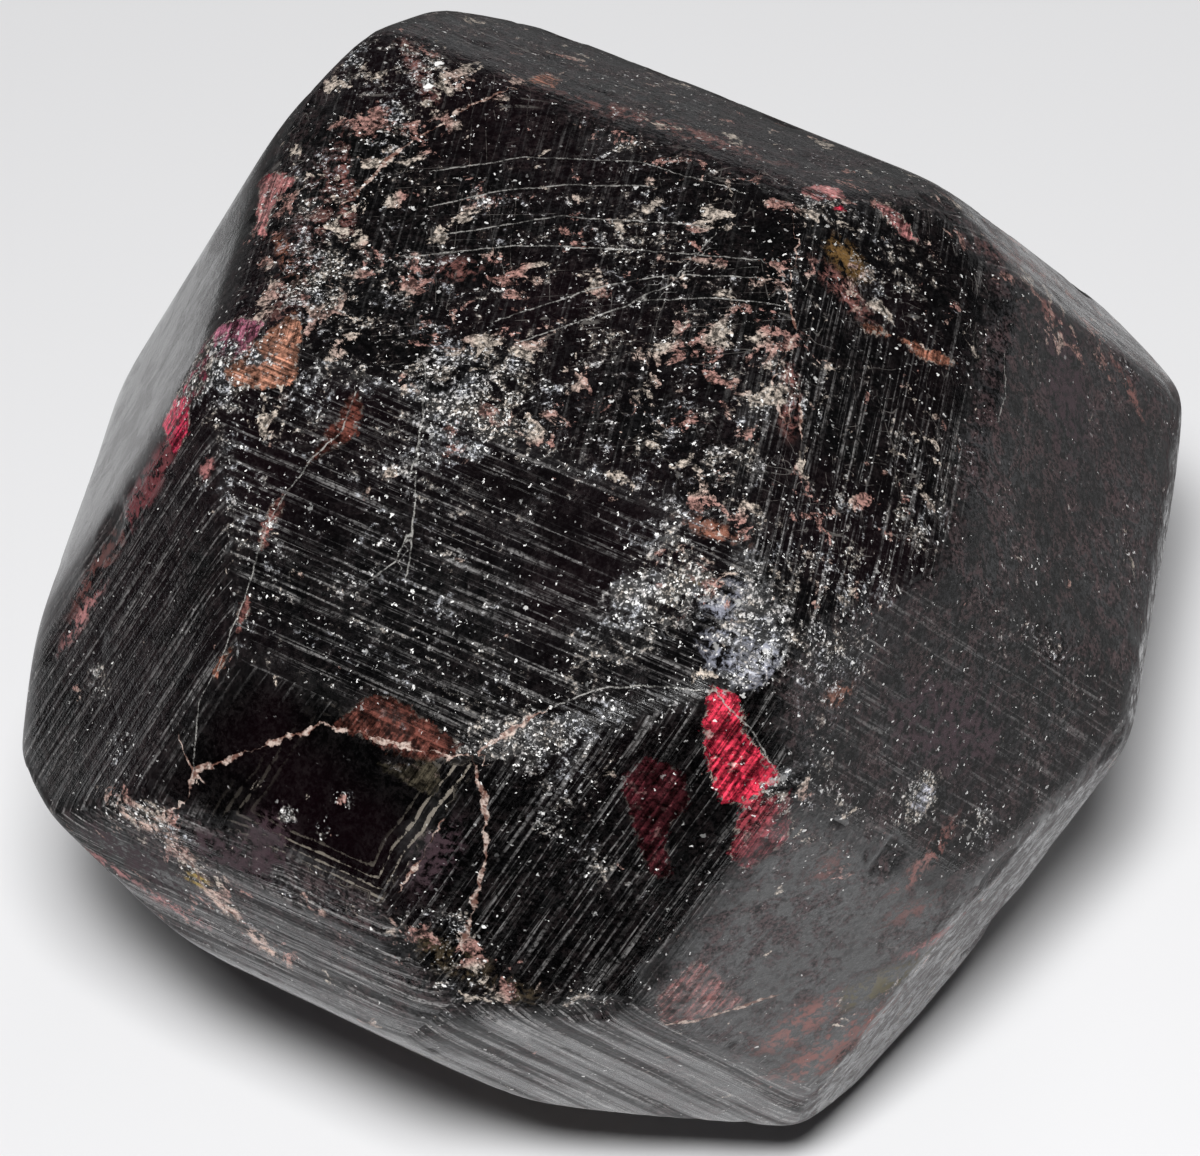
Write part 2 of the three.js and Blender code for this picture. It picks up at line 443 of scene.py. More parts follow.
# The far side and the underneath have windows of their own, strewn at random.
UNSEEN = [row["face"] for row in faces if row["face"] not in FINISH]
for face in UNSEEN:
    for window in range(random.integers(1, 4)):
        u, v = random.uniform(-4.0, 4.0, 2)
        long_side, short_side = random.uniform(0.7, 2.2), random.uniform(0.3, 1.0)
        turn = random.uniform(0, pi)
        outline = []
        for corner in range(6):
            a = (corner + random.uniform(-0.35, 0.35)) * pi / 3
            down, beside = long_side * cos(a), short_side * sin(a)
            outline.append((u + down * cos(turn) - beside * sin(turn),
                            v + down * sin(turn) + beside * cos(turn)))
        colour = [DARK_RED, BROWN_RED, ROSE_BROWN, ORANGE, PINK][random.integers(5)]
        WINDOWS.append((face, colour, outline))

# Marks are laid only where the crystal looks much the same way as the face they are on.
# FAR stands for any gap too wide to matter, in millimetres.
FACING_ENOUGH = 0.75
FAR = 9.0


def outline_gap(points, outline):
    """Distance from each flat point to a closed outline, negative inside it."""
    nearest = np.full(len(points), 1e9)
    inside = np.zeros(len(points), dtype=bool)
    for start, end in zip(outline, outline[1:] + outline[:1]):
        start, end = np.array(start), np.array(end)
        side = end - start
        t = np.clip((points - start) @ side / (side @ side), 0, 1)
        gap = np.linalg.norm(points - start - t[:, None] * side, axis=1)
        nearest = np.minimum(nearest, gap)
        spans = (start[1] > points[:, 1]) != (end[1] > points[:, 1])
        rise = end[1] - start[1] or 1e-9
        crossing = start[0] + (points[:, 1] - start[1]) * side[0] / rise
        inside ^= spans & (points[:, 0] < crossing)
    return np.where(inside, -nearest, nearest)


def flat_on(face):
    """Every point of the crystal laid flat on a face, and whether it looks the same way."""
    number = number_of[face]
    flat = np.stack([places @ along[number], places @ across[number]], axis=1) / MM
    facing = lean @ outward[number] > FACING_ENOUGH
    if face in UNSEEN:
        facing &= first == number
    return flat, facing


window_gap = np.full(count, FAR)
window_colour = np.tile((*BROWN_RED, 1.0), (count, 1))
for face, colour, outline in WINDOWS:
    flat, facing = flat_on(face)
    gap = np.where(facing, outline_gap(flat, outline), FAR)
    nearer = gap < window_gap
    window_gap[nearer] = gap[nearer]
    window_colour[nearer, :3] = colour

# --------------------------------------------------------
# Stains: soft patches of colour in the skin; the two ice-blue ones on BROAD are a painted bluish
# highlight on the worn corner. Face, colour, along, across, length, width and turn of an oval,
# in millimetres and degrees from the growth lines, and strength.

# Ice-blue: a stain colour, and on BROAD a painted highlight.
ICE_STAIN_AND_HIGHLIGHT = (0.30, 0.31, 0.37)
PLUM = (0.046, 0.028, 0.034)
AMBER = (0.15, 0.085, 0.03)
PALE = (0.70, 0.50, 0.42)
WINE = (0.13, 0.035, 0.040)
DULL_WINE = (0.10, 0.040, 0.036)
UMBER = (0.055, 0.040, 0.022)

STAINS_AND_HIGHLIGHT = [
    # Painted bluish highlight on the worn corner.
    (BROAD, ICE_STAIN_AND_HIGHLIGHT, 11.2, -1.8, 1.4, 1.0, 0, 0.9),
    (BROAD, ICE_STAIN_AND_HIGHLIGHT, 9.9, -0.6, 0.9, 0.7, 0, 0.7),
    (LOWER_RIGHT, ICE_STAIN_AND_HIGHLIGHT, 1.6, 3.1, 0.7, 0.5, 0, 0.9),
    (SHEER, ROSE_BROWN, -4.4, -3.6, 2.6, 1.2, -35, 0.85),
    (SHEER, OLIVE, -1.4, -3.4, 2.2, 0.8, -55, 0.8),
    (SHEER, ROSE_BROWN, -3.4, -1.2, 2.0, 1.0, -30, 0.7),
    (SHEER, PINK, 0.6, -4.6, 1.6, 0.5, -60, 0.6),
    (SHEER, ROSE_BROWN, 4.0, -1.6, 1.6, 0.5, -30, 0.7),
    (LOWER_RIGHT, ORANGE, 8.0, 1.6, 0.7, 0.4, 30, 0.8),
    (LOWER_RIGHT, PLUM, 2.0, 0.6, 3.4, 1.6, 10, 0.8),
    (LOZENGE, PLUM, -5.6, 0.2, 1.6, 1.0, 0, 0.9),
    (LOZENGE, PLUM, -1.4, -4.6, 1.6, 0.7, 0, 0.8),
    (FOOT_LEFT, PLUM, 7.0, -1.2, 2.4, 0.8, -10, 1.0),
    (FOOT_LEFT, PLUM, 3.4, -3.6, 1.6, 0.6, 0, 1.0),
    (RIGHT, PLUM, 5.0, -1.0, 3.0, 1.6, 20, 0.9),
    (RIGHT, ROSE_BROWN, 6.6, 0.4, 1.8, 0.4, 60, 0.8),
    (RIGHT, ROSE_BROWN, 8.0, -4.6, 1.4, 0.4, 70, 0.8),
    (SHEER, ROSE_BROWN, 3.6, 2.6, 1.3, 0.8, 0, 0.35),
    (SHEER, ROSE_BROWN, 2.0, -2.2, 1.6, 0.8, -60, 0.35),
    (RIDGED, AMBER, -3.3, -0.4, 1.0, 0.7, 60, 0.7),
    (RIDGED, ROSE_BROWN, -1.9, -0.2, 1.4, 0.5, 60, 0.7),
    (RIDGED, ROSE_BROWN, 3.5, -1.2, 1.4, 0.4, 10, 0.8),
    (FOOT_LEFT, YELLOW, 4.6, -1.6, 0.6, 0.35, 0, 0.9),
    (FOOT_LEFT, PALE, 6.8, -3.6, 1.0, 0.4, 0, 1.0),
    (FOOT_LEFT, PALE, 5.2, -2.9, 0.8, 0.4, -60, 1.0),
    (FOOT_LEFT, PALE, 3.9, -1.1, 1.1, 0.4, -45, 1.0),
    (FOOT_LEFT, PALE, 2.4, 0.3, 0.9, 0.35, -45, 0.8),
    (FOOT_LEFT, PINK, 8.6, 0.0, 1.6, 0.3, -10, 0.7),
    (FOOT_LEFT, PINK, 6.0, 0.6, 1.8, 0.3, -10, 0.6),
    (LEFT, PINK, 5.8, -1.8, 1.8, 0.35, 0, 0.6),
    (LEFT, WINE, 0.6, -2.6, 2.2, 0.6, 2, 1.0),
    (LEFT, DULL_WINE, 3.6, -2.5, 2.4, 0.5, 3, 1.0),
    (LEFT, PINK, -2.1, -0.6, 0.35, 0.3, 0, 0.9),
    (BROAD, ORANGE, 8.4, 1.3, 1.2, 0.3, 0, 0.7),
    (BROAD, YELLOW, 8.9, -0.4, 0.7, 0.25, 0, 0.7),
    (FRONT, UMBER, -4.7, 2.8, 0.8, 1.6, 0, 0.8),
    (FRONT, UMBER, -4.9, 0.2, 0.6, 1.0, 0, 0.7),
    (BACK_LEFT, ROSE_BROWN, 0.5, 1.0, 6.0, 0.7, 0, 0.5),
    (BACK_RIGHT, ROSE_BROWN, 2.0, 0.0, 4.0, 0.8, 15, 0.5),
    (BACK, ROSE_BROWN, 2.0, 0.0, 5.0, 0.8, 10, 0.5),
    (TOP, ROSE_BROWN, 0.0, 4.6, 1.2, 0.6, 90, 0.5),
    (TOP, ROSE_BROWN, 8.8, 7.8, 2.0, 0.35, 30, 0.8),
    (TOP, ROSE_BROWN, 3.0, 9.0, 2.4, 0.35, 15, 0.7),
    (TOP, ORANGE, -0.6, 10.0, 2.0, 0.3, 30, 0.7),
]
for face in UNSEEN:
    for patch in range(3):
        u, v = random.uniform(-5.0, 5.0, 2)
        length, width = random.uniform(1.0, 3.5), random.uniform(0.3, 1.2)
        colour = [ROSE_BROWN, PLUM, OLIVE, AMBER, ICE_STAIN_AND_HIGHLIGHT][random.integers(5)]
        STAINS_AND_HIGHLIGHT.append((face, colour, u, v, length, width, random.uniform(0, 180), 0.8))
stain_and_highlight = np.zeros(count)
stain_and_highlight_colour = np.tile((*ROSE_BROWN, 1.0), (count, 1))
for face, colour, u, v, length, width, turn, amount in STAINS_AND_HIGHLIGHT:
    flat, facing = flat_on(face)
    flat = flat - (u, v)
    a = radians(turn)
    down = (flat @ (cos(a), sin(a))) / length
    beside = (flat @ (-sin(a), cos(a))) / width
    cover = amount * np.exp(-down ** 2 - beside ** 2) * facing
    stronger = cover > stain_and_highlight
    stain_and_highlight[stronger] = cover[stronger]
    stain_and_highlight_colour[stronger, :3] = colour

# --------------------------------------------------------
# Veins are old cracks that grew shut and show as thin pale pinkish lines; scratches are
# hairlines from rubbing. Each is a run of points on the faces it crosses.

VEINS = [
    [(LEFT, 4.6, 5.4), (LOZENGE, -5.0, 3.5), (LOZENGE, -2.6, 2.1), (LOZENGE, -0.3, 0.8),
     (LOZENGE, 1.0, -1.7), (BROAD, 4.0, -8.5), (BROAD, 4.5, -8.1), (BROAD, 5.8, -6.2)],
    [(BROAD, 4.4, -8.3), (FRONT, 1.3, 4.7), (FRONT, -0.8, 3.6), (FRONT, -2.3, 3.1),
     (FRONT, -4.1, 2.6)],
    [(SHEER, -4.2, 4.0), (SHEER, -3.4, 2.8), (SHEER, -2.3, 1.0)],
    [(TOP, 8.4, 4.7), (TOP, 7.4, 5.7), (TOP, 5.0, 7.6), (TOP, 2.5, 8.8)],
    [(RIDGED, -4.3, -2.6), (RIDGED, -3.0, -2.1), (RIDGED, -0.7, -2.1), (RIDGED, 0.7, -1.5),
     (RIDGED, 2.1, -1.7), (RIDGED, 3.4, -0.9), (RIDGED, 4.5, -0.6)],
    [(RIDGED, 2.2, -2.2), (RIDGED, 4.2, -1.4)],
    [(FRONT, -0.4, 5.5), (FRONT, -1.9, 5.4), (FRONT, -3.0, 5.4)],
    [(LOZENGE, -5.0, 3.5), (LOZENGE, -6.0, 3.1), (FOOT_LEFT, 6.3, -3.7)],
    [(FOOT_LEFT, 5.3, -3.5), (FOOT_LEFT, 4.6, -1.8), (FOOT_LEFT, 3.4, -0.6)],
]
for face in UNSEEN:
    u, v = random.uniform(-3.0, 3.0, 2)
    vein = [(face, u, v)]
    for bend in range(3):
        u, v = u + random.uniform(-2.4, 2.4), v + random.uniform(-2.4, 2.4)
        vein.append((face, u, v))
    VEINS.append(vein)
SCRATCHES = [
    [(BROAD, -4.6, 0.9), (BROAD, -4.4, -0.4), (BROAD, -5.0, -1.8), (BROAD, -5.4, -4.1),
     (BROAD, -5.0, -6.7), (LEFT, 1.4, 4.9), (LEFT, 3.0, 5.1), (LOZENGE, -5.0, 3.5)],
    [(BROAD, 5.8, -6.2), (BROAD, 7.3, -4.7), (BROAD, 9.0, -3.9), (BROAD, 10.8, -3.4),
     (FRONT, 8.0, -1.0), (FRONT, 6.8, -2.9)],
    [(TOP, 2.7, 5.9), (TOP, 3.7, 3.9), (TOP, 4.3, 2.0), (TOP, 4.7, -0.9)],
    [(TOP, 4.3, 6.1), (TOP, 5.4, 3.3), (TOP, 5.8, -0.4), (TOP, 5.0, -3.9)],
    [(TOP, 0.3, 6.3), (TOP, 1.4, 2.8), (TOP, 1.8, -1.2), (TOP, 2.0, -5.1)],
    [(TOP, -2.0, 2.8), (TOP, 0.0, -0.2), (TOP, 0.9, -2.4), (TOP, 1.2, -5.0)],
    [(TOP, 1.4, 5.5), (TOP, 2.9, 1.7), (TOP, 3.2, -2.9)],
    [(TOP, -2.8, 1.9), (TOP, -0.4, -1.6), (TOP, 0.1, -4.0), (TOP, 0.2, -6.2)],
    [(TOP, -1.6, 0.0), (TOP, 0.4, -2.4), (TOP, 2.8, -3.4)],
    [(TOP, -4.2, 5.0), (BROAD, -1.8, 0.2), (BROAD, -0.8, -2.2), (BROAD, -0.2, -3.9)],
    [(TOP, -4.3, 4.7), (BROAD, -2.0, 0.9), (BROAD, -1.6, -0.8)],
    [(BROAD, -0.8, -2.2), (BROAD, -0.8, -3.6), (BROAD, -1.3, -4.5)],
    [(RIGHT, 3.0, 2.6), (RIGHT, 1.6, 2.2), (RIGHT, 0.6, 2.3)],
]


def run_gap(runs):
    """Distance from each point of the crystal to the nearest run, in millimetres, and the
    same distance with a sign for the side of the run it lies on."""
    nearest = np.full(count, FAR)
    side_gap = np.full(count, FAR)
    for run in runs:
        points = [on_face(*point) for point in run]
        for start, end in zip(points, points[1:]):
            leg = end - start
            t = np.clip((places - start) @ leg / (leg @ leg), 0, 1)
            from_leg = places - start - t[:, None] * leg
            gap = np.linalg.norm(from_leg, axis=1) / MM
            side = np.sign(np.einsum("ij,ij->i", from_leg, np.cross(leg, lean)))
            nearer = gap < nearest
            nearest[nearer] = gap[nearer]
            side_gap[nearer] = (gap * side)[nearer]
    return nearest, side_gap


vein_gap, vein_side = run_gap(VEINS)
scratch_gap, scratch_side = run_gap(SCRATCHES)

# --------------------------------------------------------
# The relief: growth lines, dents, chips knocked off the edges; and the nested lozenge terraces,
# which are painted on, not raised.
# Heights and depths are in millimetres.

LINE_HEIGHT = 0.035
SWELL_HEIGHT = 0.05
DENT_DEPTH = 0.07

off_edges = step(np.abs(edge_gap), 0.1, 0.7)
line_points = np.stack([u_along * 0.05, v_across * 1.1, first * 7.0], axis=1) * MM
coarse_lines = noise_over(line_points, 1.0, seed=2, octaves=2)
height = coarse_lines * LINE_HEIGHT * lines * off_edges
height += noise_over(places, 0.16, seed=3) * SWELL_HEIGHT
dented = step(noise_over(places, 0.8, seed=4, octaves=2), 0.35, 0.7)
height -= dented * DENT_DEPTH * np.clip(frost, 0, 1)

# Terraces on the lozenge faces run parallel to both pairs of the lozenge's sides.
is_lozenge = np.array([0 in row["face"] for row in faces])
other_side = np.array([row["across"] for row in faces])
for number in np.flatnonzero(is_lozenge):
    row = faces[number]
    mirrored = grain_of(row["face"])
    mirrored[row["face"].index(0)] *= -1
    other_side[number] = np.cross(row["outward"], unit(lattice @ mirrored))
terraced_amount = np.where(is_lozenge, 0.5, 0.0)
terraced_amount[[number_of[face] for face in (TOP, SHEER, RIGHT, FAR_LEFT)]] = 0.0
terraced_amount[number_of[LOZENGE]] = 1.0
terrace_middle = outward * reach[:, None]
terrace_middle[number_of[LOZENGE]] = on_face(LOZENGE, -1.6, -1.0)
from_middle = (places - terrace_middle[first]) / MM
first_way = np.abs(np.einsum("ij,ij->i", from_middle, across[first]))
second_way = np.abs(np.einsum("ij,ij->i", from_middle, other_side[first]))
terrace = np.maximum(first_way, second_way)
# The steps fade out towards one side of each lozenge.
terraced = terraced_amount[first] * step(-v_across - 0.2 * u_along, -1.6, 1.6)

places = places + lean * height[:, None] * MM

# Chips: shallow dishes broken out of the edges, small ones far oftener than large ones.
CHIP_COUNT = 130
CHIP_RADIUS = (0.20, 0.75)
CHIP_DEPTH_SHARE = (0.03, 0.09)
chip_random = np.random.default_rng(23)
edge_points = np.flatnonzero(np.abs(edge_gap) < 0.4)
chip_at = chip_random.choice(edge_points, CHIP_COUNT, replace=False)
ragged = 1 + 0.5 * noise_over(places, 1.6, seed=5, octaves=2)
chipped = np.zeros(count)
for at in chip_at:
    slant = unit(lean[at] + chip_random.normal(0, 0.15, 3))
    radius = CHIP_RADIUS[0] + (CHIP_RADIUS[1] - CHIP_RADIUS[0]) * chip_random.random() ** 3
    depth = radius * chip_random.uniform(*CHIP_DEPTH_SHARE)
    from_chip = (places - places[at]) / MM
    dish = depth * (1 - ragged * np.sum(from_chip ** 2, axis=1) / radius ** 2)
    cut = np.maximum(from_chip @ slant + dish, 0)
    cut[np.abs(from_chip @ slant) > 0.8] = 0
    places = places - slant * cut[:, None] * MM
    chipped = np.maximum(chipped, step(cut, 0.0, 0.04))

crystal_mesh.vertices.foreach_set("co", (places + heart).ravel())
crystal_mesh.update()

# A flat map whose first way runs along each face's growth lines, with the faces kept apart.
FACE_SPACING = 60
growth_map = crystal_mesh.uv_layers.new(name="growth")
loop_vertex = np.empty(len(crystal_mesh.loops), dtype=int)
crystal_mesh.loops.foreach_get("vertex_index", loop_vertex)
polygon_size = np.empty(len(crystal_mesh.polygons), dtype=int)
crystal_mesh.polygons.foreach_get("loop_total", polygon_size)
polygon_aim = np.zeros((len(polygon_size), 3))
loop_polygon = np.repeat(np.arange(len(polygon_size)), polygon_size)
np.add.at(polygon_aim, loop_polygon, aim[loop_vertex])
loop_face = np.argmax(polygon_aim @ pull.T, axis=1)[loop_polygon]
loop_places = places[loop_vertex]
growth = np.stack([
    np.einsum("ij,ij->i", loop_places, along[loop_face]) / MM,
    np.einsum("ij,ij->i", loop_places, across[loop_face]) / MM + loop_face * FACE_SPACING,
], axis=1)
growth_map.data.foreach_set("uv", growth.ravel())

MARKS = {
    "lines": lines, "frost": frost, "flecks": flecks, "skin_and_reflection": skin_and_reflection, "dull": dull,
    "edge_gap": np.abs(edge_gap), "chipped": chipped, "terrace": terrace, "terraced": terraced,
    "window_gap": window_gap, "window_colour": window_colour,
    "stain_and_highlight": stain_and_highlight, "stain_and_highlight_colour": stain_and_highlight_colour,
    "vein_gap": vein_gap, "vein_side": vein_side,
    "scratch_gap": scratch_gap, "scratch_side": scratch_side,
}
for name, values in MARKS.items():
    coloured = values.ndim == 2
    layer = crystal_mesh.attributes.new(name, "FLOAT_COLOR" if coloured else "FLOAT", "POINT")
    layer.data.foreach_set("color" if coloured else "value", values.ravel())

crystal = bpy.data.objects.new("garnet", crystal_mesh)
bpy.context.collection.objects.link(crystal)
crystal_mesh.shade_smooth()

# --------------------------------------------------------
# The garnet's finish: nearly black red glass, with its lines, frost, flecks, windows,
# stains, veins and scratches laid over each other.

GLASS_BLACK = (0.0007, 0.0006, 0.0007, 1)
GLASS_RED = (0.0030, 0.0010, 0.0017, 1)
DUST_GREY = (0.004, 0.0036, 0.0036, 1)
# Skin colours, partly painted reflection of the paper.
SKIN_AND_REFLECTION_GREY = (0.050, 0.050, 0.053, 1)
SKIN_AND_REFLECTION_BROWN = (0.074, 0.046, 0.048, 1)
# Tan of the painted highlights on the terrace steps.
STEP_HIGHLIGHT_TAN = (0.25, 0.22, 0.18, 1)
# Grey of the growth lines, partly a painted highlight.
LINE_GREY = (0.29, 0.28, 0.275, 1)
HAIR_GREY = (0.15, 0.14, 0.13, 1)
FLECK_PINK = (0.40, 0.22, 0.19, 1)
FLECK_TAN = (0.56, 0.48, 0.41, 1)
WINDOW_PALE = (0.52, 0.37, 0.34, 1)
RIM_PALE = (0.52, 0.44, 0.38, 1)
FROST_COOL = (0.53, 0.54, 0.58, 1)
FROST_WARM = (0.61, 0.54, 0.47, 1)
VEIN_BROWN = (0.16, 0.075, 0.055, 1)
VEIN_PALE = (0.58, 0.46, 0.40, 1)
SCRATCH_GREY = (0.36, 0.35, 0.33, 1)
# White of the painted glints.
PAINTED_GLINT_WHITE = (0.90, 0.89, 0.87, 1)
GARNET_IOR = 1.8
ROUGHEST = 0.8

garnet = bpy.data.materials.new("garnet")
garnet.use_nodes = True
shader_nodes, shader_links = garnet.node_tree.nodes, garnet.node_tree.links
surface = shader_nodes["Principled BSDF"]


def feed(socket, value):
    if isinstance(value, bpy.types.NodeSocket):
        shader_links.new(value, socket)
    else:
        socket.default_value = value


def part(kind, feeds, output=0, **options):
    """An output of a new node whose sockets are fed by name or number."""
    made = shader_nodes.new(kind)
    for option, value in options.items():
        setattr(made, option, value)
    for socket, value in feeds.items():
        feed(made.inputs[socket], value)
    return made.outputs[output]


def calc(operation, a, b=0.0, clamp=False):
    return part("ShaderNodeMath", {0: a, 1: b}, operation=operation, use_clamp=clamp)


def between(value, low, high, start=0.0, end=1.0):
    """Smoothly from start, where value is low, to end, where it is high."""
    return part("ShaderNodeMapRange", {0: value, 1: low, 2: high, 3: start, 4: end},
                interpolation_type="SMOOTHSTEP")


def blend(amount, under, over):
    return part("ShaderNodeMix", {0: amount, 6: under, 7: over}, 2, data_type="RGBA")


def painted(name, output=2):
    return part("ShaderNodeAttribute", {}, output, attribute_name=name)


def stretched(vector, scale, turn=0.0):
    return part("ShaderNodeMapping", {0: vector, 2: (0, 0, turn), 3: scale})


def cloudy(vector, scale, detail=2.0, roughness=0.5, distortion=0.0):
    return part("ShaderNodeTexNoise", {"Vector": vector, "Scale": scale, "Detail": detail,
                                       "Roughness": roughness, "Distortion": distortion})


def total(first, *others):
    for other in others:
        first = calc("ADD", first, other)
    return first


def product(first, *others):
    for other in others:
        first = calc("MULTIPLY", first, other)
    return first


def less(a, b):
    return calc("SUBTRACT", a, b)


def brightest(first, *others):
    for other in others:
        first = calc("MAXIMUM", first, other)
    return first


def shaded(colour, amount):
    return part("ShaderNodeMix", {0: 1.0, 6: colour, 7: amount}, 2, data_type="RGBA",
                blend_type="MULTIPLY")


def added(colour, more):
    return part("ShaderNodeMix", {0: 1.0, 6: colour, 7: more}, 2, data_type="RGBA",
                blend_type="ADD")


spot = part("ShaderNodeTexCoord", {}, 3)
spot_mm = stretched(spot, (1 / MM, 1 / MM, 1 / MM))
along_lines = part("ShaderNodeUVMap", {}, uv_map="growth")

lines_here = painted("lines")
frost_here = painted("frost")
flecks_here = painted("flecks")
edge_here = painted("edge_gap")
chipped_here = painted("chipped")

# Grain at every size, scaled in waves per millimetre: grit, grains, patches and clouds,
# and the growth lines, drawn out along each face's own direction.
grit = cloudy(spot_mm, 8.5, 2, 0.7)
grains = cloudy(spot_mm, 3.6, 3, 0.65, 0.5)
patches = cloudy(spot_mm, 1.15, 4, 0.68, 0.9)
clouds = cloudy(spot_mm, 0.30, 2, 0.5, 0.5)
fine_lines = cloudy(stretched(along_lines, (0.12, 6.6, 1)), 1.0, 3, 0.62)
broad_lines = cloudy(stretched(along_lines, (0.06, 1.3, 1)), 1.0, 2, 0.5)
line_patches = cloudy(stretched(along_lines, (0.40, 3.4, 1)), 1.0, 4, 0.68, 0.3)

# Frost: a dull haze of tiny pits, with painted glints in it and a few on the bare glass.
patch_mix = part("ShaderNodeMix", {0: product(lines_here, 0.8), 2: patches, 3: line_patches}, 0)
edge_rub = between(edge_here, 0.7, 0.0, 0.0, 0.14)
frost_level = total(frost_here, edge_rub, product(chipped_here, 0.10))
frost_field = total(product(patch_mix, 0.55), product(grains, 0.22), product(clouds, 0.23))
frost_over = less(frost_field, between(frost_level, 0.0, 1.2, 0.64, 0.465))
frosting = between(frost_over, -0.02, 0.07)
frost_light = between(total(product(grit, 0.65), product(grains, 0.35)), 0.42, 0.68)
frost_light = calc("POWER", frost_light, 1.7)
frost_tint = blend(between(cloudy(spot_mm, 0.7, 2), 0.40, 0.60), FROST_COOL, FROST_WARM)
frost_colour = shaded(frost_tint, between(frost_light, 0.0, 1.0, 0.02, 1.0))

# Painted glints: bright dots painted in where single grains would sparkle, a little out of round.
shake = part("ShaderNodeTexNoise", {"Vector": spot_mm, "Scale": 6.0, "Detail": 2.0}, 1)
shake = part("ShaderNodeVectorMath", {0: shake, 1: (0.30, 0.30, 0.30)}, operation="MULTIPLY")
shaken = part("ShaderNodeVectorMath", {0: spot_mm, 1: shake}, operation="ADD")


def pinpoints(scale, radius, share):
    """Painted glints: share of the cells that hold one, each with its own brightness."""
    gap = part("ShaderNodeTexVoronoi", {"Vector": shaken, "Scale": scale})
    dice = part("ShaderNodeTexVoronoi", {"Vector": shaken, "Scale": scale}, 1)
    split = shader_nodes.new("ShaderNodeSeparateColor")
    feed(split.inputs[0], dice)
    picked = between(total(split.outputs[0], share), 1.0, 1.04)
    size = product(total(split.outputs[1], 0.35), radius)
    round_dot = between(less(product(size, scale), gap), -0.10, 0.06)
    bright = total(0.22, product(calc("POWER", split.outputs[2], 2.0), 1.1))
    return calc("MULTIPLY", product(picked, round_dot), bright, clamp=True)


# How many cells hold a painted glint, at three sizes.
coarse_share = between(frost_level, 0.70, 1.30, 0.002, 0.20)
speck_share = total(product(frosting, 0.34), between(frost_level, 0.0, 1.0, 0.008, 0.05))
fine_share = total(product(frosting, 0.65), between(frost_level, 0.0, 1.0, 0.01, 0.12))
painted_glints = brightest(pinpoints(5.0, 0.056, speck_share), pinpoints(9.5, 0.036, fine_share),
                   pinpoints(2.6, 0.11, coarse_share))

# Pale growth lines, partly rough and partly a painted highlight where the groove sides catch the
# light, and on flecked faces hairlines of rubbing that run two ways.
streaks = product(between(fine_lines, 0.50, 0.64), between(line_patches, 0.40, 0.62, 0.08, 1.0),
                  lines_here, between(total(grit, grains), 0.80, 1.15, 0.15, 1.2))
hair = cloudy(stretched(spot_mm, (0.10, 0.9, 0.9), radians(8)), 1.0, 1)
hair_cross = cloudy(stretched(spot_mm, (0.8, 0.14, 0.8), radians(-24)), 1.0, 1)
hairlines = brightest(between(calc("ABSOLUTE", less(hair, 0.5)), 0.006, 0.001),
                      between(calc("ABSOLUTE", less(hair_cross, 0.52)), 0.005, 0.001))
hairlines = product(hairlines, between(patches, 0.46, 0.58), between(flecks_here, 0.35, 0.60))

# The glass itself, nearly black, with a breath of dark red in places.
depth_colour = blend(between(cloudy(spot_mm, 0.12, 2), 0.46, 0.64), GLASS_BLACK, GLASS_RED)

# Flecks: pinkish and tan spots with ragged outlines.
fleck_noise = cloudy(spot_mm, 0.85, 5, 0.68, 0.4)
fleck_edge = between(flecks_here, 0.0, 1.0, 0.69, 0.54)
fleck_cover = between(less(fleck_noise, fleck_edge), 0.0, 0.035)
fleck_colour = blend(between(cloudy(spot_mm, 0.45, 1), 0.42, 0.58), FLECK_PINK, FLECK_TAN)
fleck_colour = shaded(fleck_colour, between(total(grains, grit), 0.80, 1.25, 0.10, 1.25))

# Windows: ragged at the rim, streaked by the growth lines, mottled, palest where bright.
window_noise = product(less(total(grains, patches), 1.0), 0.50)
window_ragged = product(less(fine_lines, 0.5), 0.5)
window_here = total(painted("window_gap"), total(window_noise, window_ragged))
window_cover = between(window_here, 0.04, -0.05)
window_shade = product(between(cloudy(spot_mm, 1.1, 3, 0.6, 0.3), 0.34, 0.62, 0.35, 1.1),
                       between(total(grit, fine_lines), 0.75, 1.2, 0.25, 1.35),
                       between(cloudy(spot_mm, 2.3, 3, 0.62, 0.9), 0.36, 0.57, 0.30, 1.35),
                       between(fine_lines, 0.42, 0.60, 0.60, 1.25))
window_colour_in = painted("window_colour", 0)
window_glow = between(part("ShaderNodeSeparateColor", {0: window_colour_in}), 0.03, 0.30, 0.12, 1.0)
window_pale = between(cloudy(spot_mm, 2.9, 3, 0.65, 0.6), 0.585, 0.66, 0.0, 0.75)
window_tint = blend(product(window_pale, window_glow), window_colour_in, WINDOW_PALE)
window_rim = product(between(calc("ABSOLUTE", total(window_here, -0.02)), 0.07, 0.0),
                     between(grains, 0.48, 0.62), window_glow)

# Stains, with one painted highlight among them, veins and scratches, each broken up by the grain
# under it.
stain_and_highlight_cover = product(painted("stain_and_highlight"), between(total(patches, grains), 0.80, 1.15, 0.1, 1.3))
stain_and_highlight_cover = between(stain_and_highlight_cover, 0.12, 0.75)
stain_and_highlight_shade = between(total(patches, grains), 0.75, 1.2, 0.2, 1.2)

vein_wander = product(less(cloudy(spot_mm, 1.5, 4, 0.62), 0.5), 0.55)
vein_width = between(cloudy(spot_mm, 0.9, 4, 0.66), 0.36, 0.66, -0.005, 0.13)
vein_off = calc("ABSOLUTE", total(painted("vein_side"), vein_wander))
vein_cover = product(between(less(vein_off, vein_width), 0.025, -0.025),
                     between(painted("vein_gap"), 0.5, 0.3),
                     between(grit, 0.30, 0.5, 0.35, 1.0))
vein_colour = blend(between(grains, 0.42, 0.62), VEIN_BROWN, VEIN_PALE)

